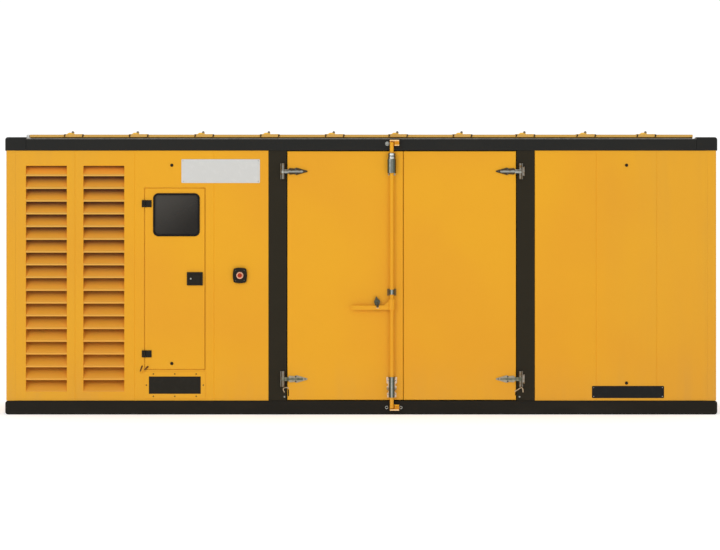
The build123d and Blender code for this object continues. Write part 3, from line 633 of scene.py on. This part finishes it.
def keeperSpots(end, level, size):
    return [(outward(rodAxis.x + dx, railFace, level), keeperBolts[size]) for dx in keeperBolts[end]]


boltSpots = keeperSpots("upper", keeperHigh.z - keeperBolts["drop"], "bolt")
nutSpots = keeperSpots("lower", keeperLow.z + keeperBolts["rise"], "nut")
fasteners("upperKeeperBolt", "enclosure", "zinc_steel", hexBolt, boltSpots)
fasteners("lowerKeeperNuts", "enclosure", "zinc_steel", ringNut, nutSpots)
fasteners("lowerKeeperBolts", "enclosure", "frame_black", boltEnd, nutSpots)

guideBolts = {
    "reach": 0.0325, "size": 0.0042, "plate": 0.008, "levels": (0.027, 0.080, 0.142),
    "footReach": 0.024, "footDrop": 0.182, "footShare": 1.6,  # under the top guide; share of size
}


def guideSpots():
    face, reach, footReach = panelFace - guideBolts["plate"], guideBolts["reach"], guideBolts["footReach"]
    plate = [(outward(rodAxis.x + dx, face, guideLow.z + rise), guideBolts["size"])
             for rise in guideBolts["levels"] for dx in (-reach, reach)]
    footSize = guideBolts["size"] * guideBolts["footShare"]
    feet = [(outward(rodAxis.x + dx, panelFace, guideHigh.z - guideBolts["footDrop"]), footSize)
            for dx in (-footReach, footReach)]
    return plate + feet


fasteners("guideBolts", "left_door", "zinc_steel", hexBolt, guideSpots())

guideCollars = {
    "levels": (0.0405, 0.0135), "radius": 0.0300, "half": 0.0095, "swell": 0.0022, "root": 0.002,
    "angles": (-1.4, -0.9, -0.45, 0, 0.45, 0.9, 1.4),  # round the bead
}


def buildCollars(shape):  # rounded beads on the top guide's two collars
    radius, half, swell = guideCollars["radius"], guideCollars["half"], guideCollars["swell"]
    core = radius - guideCollars["root"]
    bead = [(radius + swell * math.cos(t), half * math.sin(t)) for t in guideCollars["angles"]]
    for drop in guideCollars["levels"]:
        at = upward(rodAxis.x, rodAxis.y, guideHigh.z - drop)
        turned(shape, at, [(core, -half)] + bead + [(core, half)], 40, hoop=True)


piece("guideCollars", "left_door", "zinc_steel", buildCollars, loose["polishedZinc"])

hingeWings = {"near": 0.0165, "far": 0.0365, "root": 0.034, "reach": 0.041, "thick": 0.010, "edge": 0.0015}


def buildWings(shape):  # the right-hand hinge plates are broader at the level of the straps
    near, far = rightPin.x + hingeWings["near"], rightPin.x + hingeWings["far"]
    root, reach = hingeWings["root"], hingeWings["reach"]
    for z in hingeLevels:
        outline = [(near, z - root), (far, z - reach), (far, z + reach), (near, z + root)]
        prism(shape, outline, panelFace, panelFace - hingeWings["thick"], hingeWings["edge"])


piece("hingeWings", "enclosure", "zinc_steel", buildWings, loose["wingZinc"])

hasp = {
    "x": -0.121,  # from the rod's axis
    "behind": 0.0195,  # from the handle's front
    "rootHalf": 0.012, "tailHalf": 0.0065, "top": 0.0185, "low": 0.002, "depth": 0.006, "edge": 0.0015,
    "lip": (0.028, 0.007), "lipDrop": 0.006, "lipDepth": 0.012, "lipRound": 0.0034, "lipEdge": 0.002,
}
haspX = rodAxis.x + hasp["x"]
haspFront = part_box("lock_handle")[0].y + hasp["behind"]


def buildTongue(shape):  # hangs over the bar from the catch
    root, tail = hasp["rootHalf"], hasp["tailHalf"]
    top, low = rodAxis.z + hasp["top"], rodAxis.z + hasp["low"]
    tongue = [(haspX - root, top), (haspX - tail, low), (haspX + tail, low), (haspX + root, top)]
    prism(shape, tongue, haspFront, haspFront - hasp["depth"], hasp["edge"])


def buildLip(shape):
    wide, tall = hasp["lip"]
    low = rodAxis.z - hasp["lipDrop"]
    outline = roundedBox(haspX - wide / 2, low, haspX + wide / 2, low + tall, hasp["lipRound"])
    prism(shape, outline, haspFront, haspFront - hasp["lipDepth"], hasp["lipEdge"])


piece("haspTongue", "lock_bar", "zinc_steel", buildTongue, ownFinishes["handle_catch"])
# the lip's pale colour is a painted highlight
piece("haspLip", "lock_bar", "panel_yellow", buildLip, loose["haspLipHighlight"])
print("lock bar and hinge fasteners made")

# Screws round the cable entry, on the emergency stop, the small hinges and the plugs

entryScrews = {"inset": 0.019, "spread": 0.182, "size": 0.0062}


def entrySpots():
    low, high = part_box("cable_entry_frame")
    inset, spread = entryScrews["inset"], entryScrews["spread"]
    left, right = low.x + inset, high.x - inset
    bottom, top = low.z + inset, high.z - inset
    middleX, middleZ = (left + right) / 2, (bottom + top) / 2
    places = [(middleX + dx, z) for dx in (-spread, 0, spread) for z in (bottom, top)]
    places += [(left, middleZ), (right, middleZ)]
    return [(outward(x, low.y, z), entryScrews["size"]) for x, z in places]


# brown screws: painted shade standing for yellow-painted screws in their own shadow
fasteners("entryScrews", "enclosure", "zinc_steel", panScrew, entrySpots(), loose["brownScrewShade"])

stopScrews = {"inset": 0.023, "size": 0.0048}


def stopSpots():
    low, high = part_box("estop_plate")
    inset = stopScrews["inset"]
    return [(outward(x, low.y, z), stopScrews["size"])
            for x in (low.x + inset, high.x - inset) for z in (low.z + inset, high.z - inset)]


fasteners("stopScrews", "enclosure", "zinc_steel", panScrew, stopSpots(), loose["dullSteel"])

smallHinge = {"spots": (0.026, 0.047), "rise": 0.017, "size": 0.0036, "leaf": 0.006, "half": 0.030}


def smallHingeSpots():
    low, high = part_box("control_hinge_leaves")
    face, rise, half = panelFace - smallHinge["leaf"], smallHinge["rise"], smallHinge["half"]
    return [(outward(controlPin.x + dx, face, level + dz), smallHinge["size"])
            for level in (low.z + half, high.z - half) for dx in smallHinge["spots"] for dz in (-rise, rise)]


fasteners("smallHingeScrews", "control_door", "black_plastic", panScrew, smallHingeSpots())

plugCap = {"radius": 0.0135, "cap": 0.0085}


def plugSpots():
    low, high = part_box("panel_plugs")
    edge = plugCap["radius"]
    left, right, bottom, top = low.x + edge, high.x - edge, low.z + edge, high.z - edge
    return [(outward(x, low.y, z), plugCap["cap"]) for x, z in ((left, top), (right, top), (right, bottom))]


def doorPlugSpots():
    low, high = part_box("control_door_plug")
    middle = (low + high) / 2
    return [(outward(middle.x, low.y, middle.z), plugCap["cap"])]


fasteners("plugCaps", "enclosure", "black_plastic", panScrew, plugSpots())
fasteners("doorPlugCap", "control_door", "black_plastic", panScrew, doorPlugSpots())

keyBarrel = {
    "share": 0.25,  # of the latch's width, left of its middle
    "radius": 0.0075, "root": -0.003, "rim": 0.002, "face": 0.003, "bore": 0.0015,
    "slitHalf": (0.0012, 0.004), "slitRound": 0.001, "slitDepths": (0.001, 0.0028),
}


def buildKeyBarrel(shape):
    low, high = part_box("control_lock")
    z = ((low + high) / 2).z
    x = ((low + high) / 2).x - keyBarrel["share"] * (high.x - low.x)
    radius, root, rim, face, bore = (keyBarrel[key] for key in ("radius", "root", "rim", "face", "bore"))
    profile = [(0, root), (radius * 1.1, root), (radius * 1.1, rim), (radius, face),
               (radius * 0.55, face), (radius * 0.5, bore), (0, bore)]
    turned(shape, outward(x, low.y, z), profile, 24)
    halfX, halfZ = keyBarrel["slitHalf"]
    back, front = (low.y - depth for depth in keyBarrel["slitDepths"])
    slit = roundedBox(x - halfX, z - halfZ, x + halfX, z + halfZ, keyBarrel["slitRound"], 3)
    prism(shape, slit, back, front)


piece("keyBarrel", "control_door", "zinc_steel", buildKeyBarrel)
print("screws made")

# Rivets, edge clips and knob caps of the roof straps, and stops at the roof's left end

strapThick = 0.004
strapTop = roofTop + strapThick
lapLow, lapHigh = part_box("roof_straps")
roofRivets = {"count": 9, "inset": 0.062, "size": 0.008, "margin": 0.12}


def strapCentres():
    mesh = nodes["roof_straps"].data
    lowest = min(v.co.z for v in mesh.vertices)
    xs = sorted({round(v.co.x, 3) for v in mesh.vertices if v.co.z < lowest + 0.001})
    return [(a + b) / 2 for a, b in zip(xs[::2], xs[1::2])]


def rivetSpots():
    reach = lapHigh.y - roofRivets["margin"]
    step = 2 * reach / (roofRivets["count"] - 1)
    return [(upward(x + dx, -reach + i * step, strapTop), roofRivets["size"])
            for x in strapCentres() for dx in (-roofRivets["inset"], roofRivets["inset"])
            for i in range(roofRivets["count"])]


fasteners("roofRivets", "enclosure", "panel_yellow", panScrew, rivetSpots())

lapShadowClips = {"reach": 0.077, "width": 0.011, "lean": 0.005, "depth": 0.004, "foot": 0.001, "drop": 0.003}


def buildClips(shape):  # slanted dark clips at both edges of each folded strap end, also a painted shadow at those edges
    half, lean = lapShadowClips["width"] / 2, lapShadowClips["lean"]
    low, high = lapLow.z + lapShadowClips["foot"], strapTop - lapShadowClips["drop"]
    for x in [centre + dx for centre in strapCentres() for dx in (-lapShadowClips["reach"], lapShadowClips["reach"])]:
        outline = [(x - half, low), (x + half, low), (x + half + lean, high), (x - half + lean, high)]
        for face, out in ((lapLow.y, -1), (lapHigh.y, 1)):
            prism(shape, outline, face, face + out * lapShadowClips["depth"])


knobCaps = {"shift": -0.006, "rise": 0.0155, "size": 0.010}


def buildCaps(shape):
    turn = Matrix.Rotation(math.pi, 4, "Z")  # to the back wall
    level = strapTop + knobCaps["rise"]
    for x in [centre + knobCaps["shift"] for centre in strapCentres()]:
        for at in (outward(x, lapLow.y, level), turn @ outward(-x, lapLow.y, level)):
            lathe(shape, at, "knobCap", knobCaps["size"], 18)


piece("lapShadowClips", "enclosure", "frame_black", buildClips)
piece("knobCaps", "enclosure", "zinc_steel", buildCaps, loose["capSteel"])
print("roof straps:", len(strapCentres()))

endClip = {"x": -2.8495, "y": 1.150, "width": 0.024, "height": 0.034, "depth": 0.045, "round": 0.007}


def buildEndClips(shape):  # rounded stops beside the roof's left end
    x, y, low = endClip["x"], endClip["y"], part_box("top_side_rails")[1].z
    outline = roundedBox(x, low, x + endClip["width"], low + endClip["height"], endClip["round"])
    for side in (-1, 1):
        prism(shape, outline, side * y, side * (y + endClip["depth"]))


piece("roofEndClips", "enclosure", "zinc_steel", buildEndClips, loose["signPale"])

# Rubber seals on the backs of the two leaves

leafSeal = {"inset": 0.004, "width": 0.034, "thick": 0.003}


def makeSeal(name, body, leaf):
    low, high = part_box(leaf)
    gap, front = leafSeal["inset"], high.y + leafSeal["thick"]

    def build(shape):
        border(shape, low.x + gap, low.z + gap, high.x - gap, high.z - gap, leafSeal["width"], high.y, front)

    piece(name, body, "gasket_rubber", build)


makeSeal("leftLeafSeal", "left_door", "left_door_leaf")
makeSeal("rightLeafSeal", "right_door", "right_door_leaf")

# Seals and filler in the joints between the wall panels

walls = {  # the panels of each wall, the axis along it and the side it faces
    "front": (("intake_panels", "control_panel", "stop_panel", "right_bay_panels"), 0, -1),
    "back": (("back_panels", "back_intake_panels"), 0, 1),
    "left": (("left_end_panels",), 1, -1),
    "right": (("right_end_panels",), 1, 1),
}
panelSeam = {"widest": 0.0015, "near": 0.0005, "sunk": 0.002, "deep": 0.008, "width": 0.030, "thick": 0.003}


def seams(wall):  # both edges of each joint between two panels
    names, axis = walls[wall][:2]
    inner = min(abs(v.co[1 - axis]) for v in nodes[names[0]].data.vertices) + panelSeam["near"]
    edges = sorted({round(v.co[axis], 4) for name in names for v in nodes[name].data.vertices
                    if abs(v.co[1 - axis]) < inner})
    return [(a, b) for a, b in zip(edges, edges[1:]) if b - a < panelSeam["widest"]]


def buildSeamSeals(shape):  # strips inside the back wall, over the joints of its panels
    low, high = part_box("back_panels")
    half = panelSeam["width"] / 2
    for x in [(a + b) / 2 for a, b in seams("back")]:
        prism(shape, rectangle(x - half, low.z, x + half, high.z), low.y, low.y - panelSeam["thick"])


def buildSeamFill(shape):  # painted filler at the bottom of the joints' grooves
    for wall, (names, axis, side) in walls.items():
        low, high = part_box(names[0])
        face = (high if side > 0 else low)[1 - axis]
        near, far = face - side * panelSeam["sunk"], face - side * panelSeam["deep"]
        for a, b in seams(wall):
            outline = rectangle(a, low.z, b, high.z)
            corners = [[(x, y, z) if axis == 0 else (y, x, z) for x, z in outline] for y in (near, far)]
            loft(shape, [[shape.verts.new(corner) for corner in loop] for loop in corners])


piece("seamSeals", "enclosure", "gasket_rubber", buildSeamSeals)
piece("seamFill", "enclosure", "panel_yellow", buildSeamFill)
print("clips and seals made, joints filled:", [len(seams(wall)) for wall in walls])

# Braided earth straps beside the lower hinges and under the control door's hinge

earthStrap = {
    "left": {"route": ((-0.043, 0.226), (-0.022, 0.2305), (-0.004, 0.222), (-0.003, 0.207), (-0.010, 0.193)),
             "stud": (-0.012, 0.151), "slot": (-0.6240, 0.157, -0.6150, 0.214)},
    "right": {"route": ((-0.043, 0.199), (-0.022, 0.211), (0.006, 0.2295), (0.020, 0.220), (0.024, 0.194)),
              "stud": (-0.006, 0.151), "slot": (1.3085, 0.162, 1.3150, 0.190)},
    "width": 0.0095, "thick": 0.003, "stand": 0.011, "endStand": 0.002,
    "boltSize": 0.0045, "studSize": 0.006, "slotRound": 0.003, "slotThick": 0.0008,
}
braid = {
    "section": ((-1, -1), (-0.6, -1.3), (0.6, -1.3), (1, -1), (1, 1), (0.6, 1.3), (-0.6, 1.3), (-1, 1)),
    "ripple": 0.06, "pitch": 2.4, "steps": 8,
}


def smoothPath(points):  # points along a rounded line through the given ones
    ends = [points[0] * 2 - points[1]] + points + [points[-1] * 2 - points[-2]]
    path = []
    for a, b, c, d in zip(ends, ends[1:], ends[2:], ends[3:]):
        for i in range(braid["steps"]):
            t = i / braid["steps"]
            line = 2 * b + (c - a) * t
            path.append(0.5 * (line + (2 * a - 5 * b + 4 * c - d) * t * t + (3 * b - a - 3 * c + d) * t ** 3))
    return path + [points[-1]]


def sweepStrap(shape, path, width, thick):
    rings = []
    for i, point in enumerate(path):
        along = (path[min(i + 1, len(path) - 1)] - path[max(i - 1, 0)]).normalized()
        side = along.cross(Vector((0, 1, 0))).normalized()
        lean = (side + Vector((0, -1, 0))).normalized()
        flat = along.cross(lean)
        wave = 1 + braid["ripple"] * math.sin(i * braid["pitch"])
        rings.append([shape.verts.new(point + lean * (u * width * wave / 2) + flat * (v * thick / 2))
                      for u, v in braid["section"]])
    loft(shape, rings)


def makeLead(name, slot, route, width, thick, finish=None):
    return piece(name, None, slot, lambda shape: sweepStrap(shape, smoothPath(route), width, thick), finish)


def makeEarthStrap(hand, pin, side):
    strap, name, door = earthStrap[hand], hand + "EarthStrap", hand + "_door"
    depths = [earthStrap["stand"]] * len(strap["route"])
    depths[0] = depths[-1] = earthStrap["endStand"]
    route = [Vector((pin.x + side * x, panelFace - depth, z))
             for (x, z), depth in zip(strap["route"], depths)]
    lead = makeLead(name, "zinc_steel", route, earthStrap["width"], earthStrap["thick"], loose["braid"])
    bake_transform(lead)
    for body, at in ((door, route[0]), ("enclosure", route[-1])):
        spot = (outward(at.x, panelFace, at.z), earthStrap["boltSize"])
        fasteners(name + "." + body, body, "zinc_steel", hexBolt, [spot], loose["braid"])
    x, z = strap["stud"]
    stud = (outward(pin.x + side * x, panelFace, z), earthStrap["studSize"])
    fasteners(name + ".stud", "enclosure", "zinc_steel", hexBolt, [stud])
    slot = roundedBox(*strap["slot"], earthStrap["slotRound"])  # a flat dark rubber patch where the strap comes out, standing for the slot and its shade
    slotFront = panelFace - earthStrap["slotThick"]
    piece(name + ".slot", door, "gasket_rubber", lambda shape: prism(shape, slot, panelFace, slotFront))


makeEarthStrap("left", leftPin, -1)
makeEarthStrap("right", rightPin, 1)

controlEarth = {
    "enclosure": {"top": (-1.864, 0.413), "foot": (-1.881, 0.366), "stand": 0.0},
    "control_door": {"top": (-1.814, 0.409), "foot": (-1.845, 0.377), "stand": 0.0055},  # clear of the panel
    "lugWidth": 0.0115, "lugThick": 0.005, "lugEdge": 0.0012, "leadDepth": 0.004,
    "padLeft": 0.006, "padRight": 0.003, "padRound": 0.003,
    "route": ((-1.874, 0.012, 0.357), (-1.855, 0.014, 0.362)),  # x, distance out from the panel, z
    "width": 0.006, "thick": 0.0025,
}


def lugOutline(top, foot, width):
    top, foot = Vector(top), Vector(foot)
    along = (top - foot).normalized()
    side = Vector((-along.y, along.x)) * width / 2
    tip = top + along * width * 0.4
    return [(c.x, c.y) for c in (foot + side * 0.7, foot - side * 0.7, top - side, tip, top + side)]


def makeControlLug(body):
    lug = controlEarth[body]
    back = panelFace - lug["stand"]

    def build(shape):
        outline = lugOutline(lug["top"], lug["foot"], controlEarth["lugWidth"])
        prism(shape, outline, back, back - controlEarth["lugThick"], controlEarth["lugEdge"])
        if lug["stand"]:
            x, z = lug["top"]
            left, right = controlEarth["padLeft"], controlEarth["padRight"]
            pad = roundedBox(x - left, z - left, x + right, z + right, controlEarth["padRound"])
            prism(shape, pad, panelFace, back)

    piece("controlEarthLug." + body, body, "black_plastic", build, loose["lugBrown"])
    x, z = lug["foot"]
    return Vector((x, back - controlEarth["leadDepth"], z))


def makeControlEarth():
    start, end = makeControlLug("enclosure"), makeControlLug("control_door")
    route = [start] + [Vector((x, panelFace - out, z)) for x, out, z in controlEarth["route"]] + [end]
    lead = makeLead("controlEarthStrap", "panel_yellow", route, controlEarth["width"], controlEarth["thick"])
    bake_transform(lead)


makeControlEarth()
print("earth straps made")

# Blank plates where the walls carry signs

signPlates = {
    "upperPlate": {"box": (-1.530, 1.970, -0.862, 2.172), "finish": "signPale", "slot": "zinc_steel"},
    "lowerPlate": {"box": (1.963, 0.140, 2.576, 0.243), "finish": "signDark", "slot": "black_plastic"},
}
signFit = {"thick": 0.003, "round": 0.008, "edge": 0.001, "rivet": 0.004, "inset": 0.014}


def makeSign(name, sign):
    x0, z0, x1, z1 = sign["box"]
    front, inset = panelFace - signFit["thick"], signFit["inset"]
    outline = roundedBox(x0, z0, x1, z1, signFit["round"])
    piece(name, "enclosure", sign["slot"],
          lambda shape: prism(shape, outline, panelFace, front, signFit["edge"]), loose[sign["finish"]])
    spots = [(outward(x, front, z), signFit["rivet"])
             for x in (x0 + inset, x1 - inset) for z in (z0 + inset, z1 - inset)]
    fasteners(name + ".rivets", "enclosure", "zinc_steel", panScrew, spots)


for name, sign in signPlates.items():
    makeSign(name, sign)
print("blank plates made")


# Studio: pale floor, soft light and the camera

studio = {
    "lens": 176.3, "sensor": 36.0, "distance": 30.0, "aimX": -0.0106, "aimZ": 1.187, "far": 500.0,
    "floor": shade(0.93, 0.93, 0.92), "glow": 0.42, "floorHalf": 150.0,
    "zenith": shade(0.72, 0.72, 0.72), "horizon": shade(0.46, 0.46, 0.46),
    "backdrop": shade(1.05, 1.05, 1.05), "white": shade(1, 1, 1),
}


def makeFloor():
    mesh = bpy.data.meshes.new("studioFloor")
    half = studio["floorHalf"]
    corners = [(x, y, 0) for x, y in rectangle(-half, -half, half, half)]
    mesh.from_pydata(corners, [], [(0, 1, 2, 3)])
    floor = bpy.data.objects.new("studioFloor", mesh)
    bpy.context.scene.collection.objects.link(floor)
    pale = Finish("paleFloor")
    cloud = pale.noise(0.4, 3.0)
    mesh.materials.append(pale.surface({"Base Color": studio["floor"], "Roughness": 0.7 + cloud * 0.1,
                                        "Emission Color": studio["white"],
                                        "Emission Strength": studio["glow"]}))


def makeSky():  # paler overhead than at the horizon, and plain white behind the part
    world = bpy.data.worlds.new("studioSky")
    bpy.context.scene.world = world
    sky = Finish("studioSky", world)
    rise = sky.ramp(sky.along("Z"), -0.1, 0.9)
    dome = sky.tint(rise, studio["horizon"], studio["zenith"])
    seen = sky.add("ShaderNodeLightPath", output="Is Camera Ray")
    sky.surface({"Color": sky.tint(seen, dome, studio["backdrop"]), "Strength": 1.0})


softBoxes = {
    "left": {"at": (-13.0, -21.0, 9.0), "aim": (-0.3, -1.2, 1.2), "size": 7.0, "watts": 970.0},
    "right": {"at": (13.0, -21.0, 9.0), "aim": (0.3, -1.2, 1.2), "size": 7.0, "watts": 400.0},
}


def makeLights():
    for name, box in softBoxes.items():
        light = bpy.data.lights.new(name, "AREA")
        light.shape = "DISK"
        light.size = box["size"]
        light.energy = box["watts"]
        lamp = bpy.data.objects.new(name, light)
        lamp.location = box["at"]
        lamp.rotation_mode = "QUATERNION"
        lamp.rotation_quaternion = (Vector(box["aim"]) - Vector(box["at"])).to_track_quat("-Z", "Y")
        bpy.context.scene.collection.objects.link(lamp)


def makeCamera():
    eye = bpy.data.cameras.new("photoEye")
    eye.lens = studio["lens"]
    eye.sensor_width = studio["sensor"]
    eye.clip_end = studio["far"]
    camera = bpy.data.objects.new("photoEye", eye)
    camera.location = (studio["aimX"], panelFace - studio["distance"], studio["aimZ"])
    camera.rotation_euler = (math.radians(90), 0, 0)
    bpy.context.scene.collection.objects.link(camera)
    bpy.context.scene.camera = camera


makeFloor()
makeSky()
makeLights()
makeCamera()
bpy.context.scene.view_settings.view_transform = "Standard"
print("studio ready")
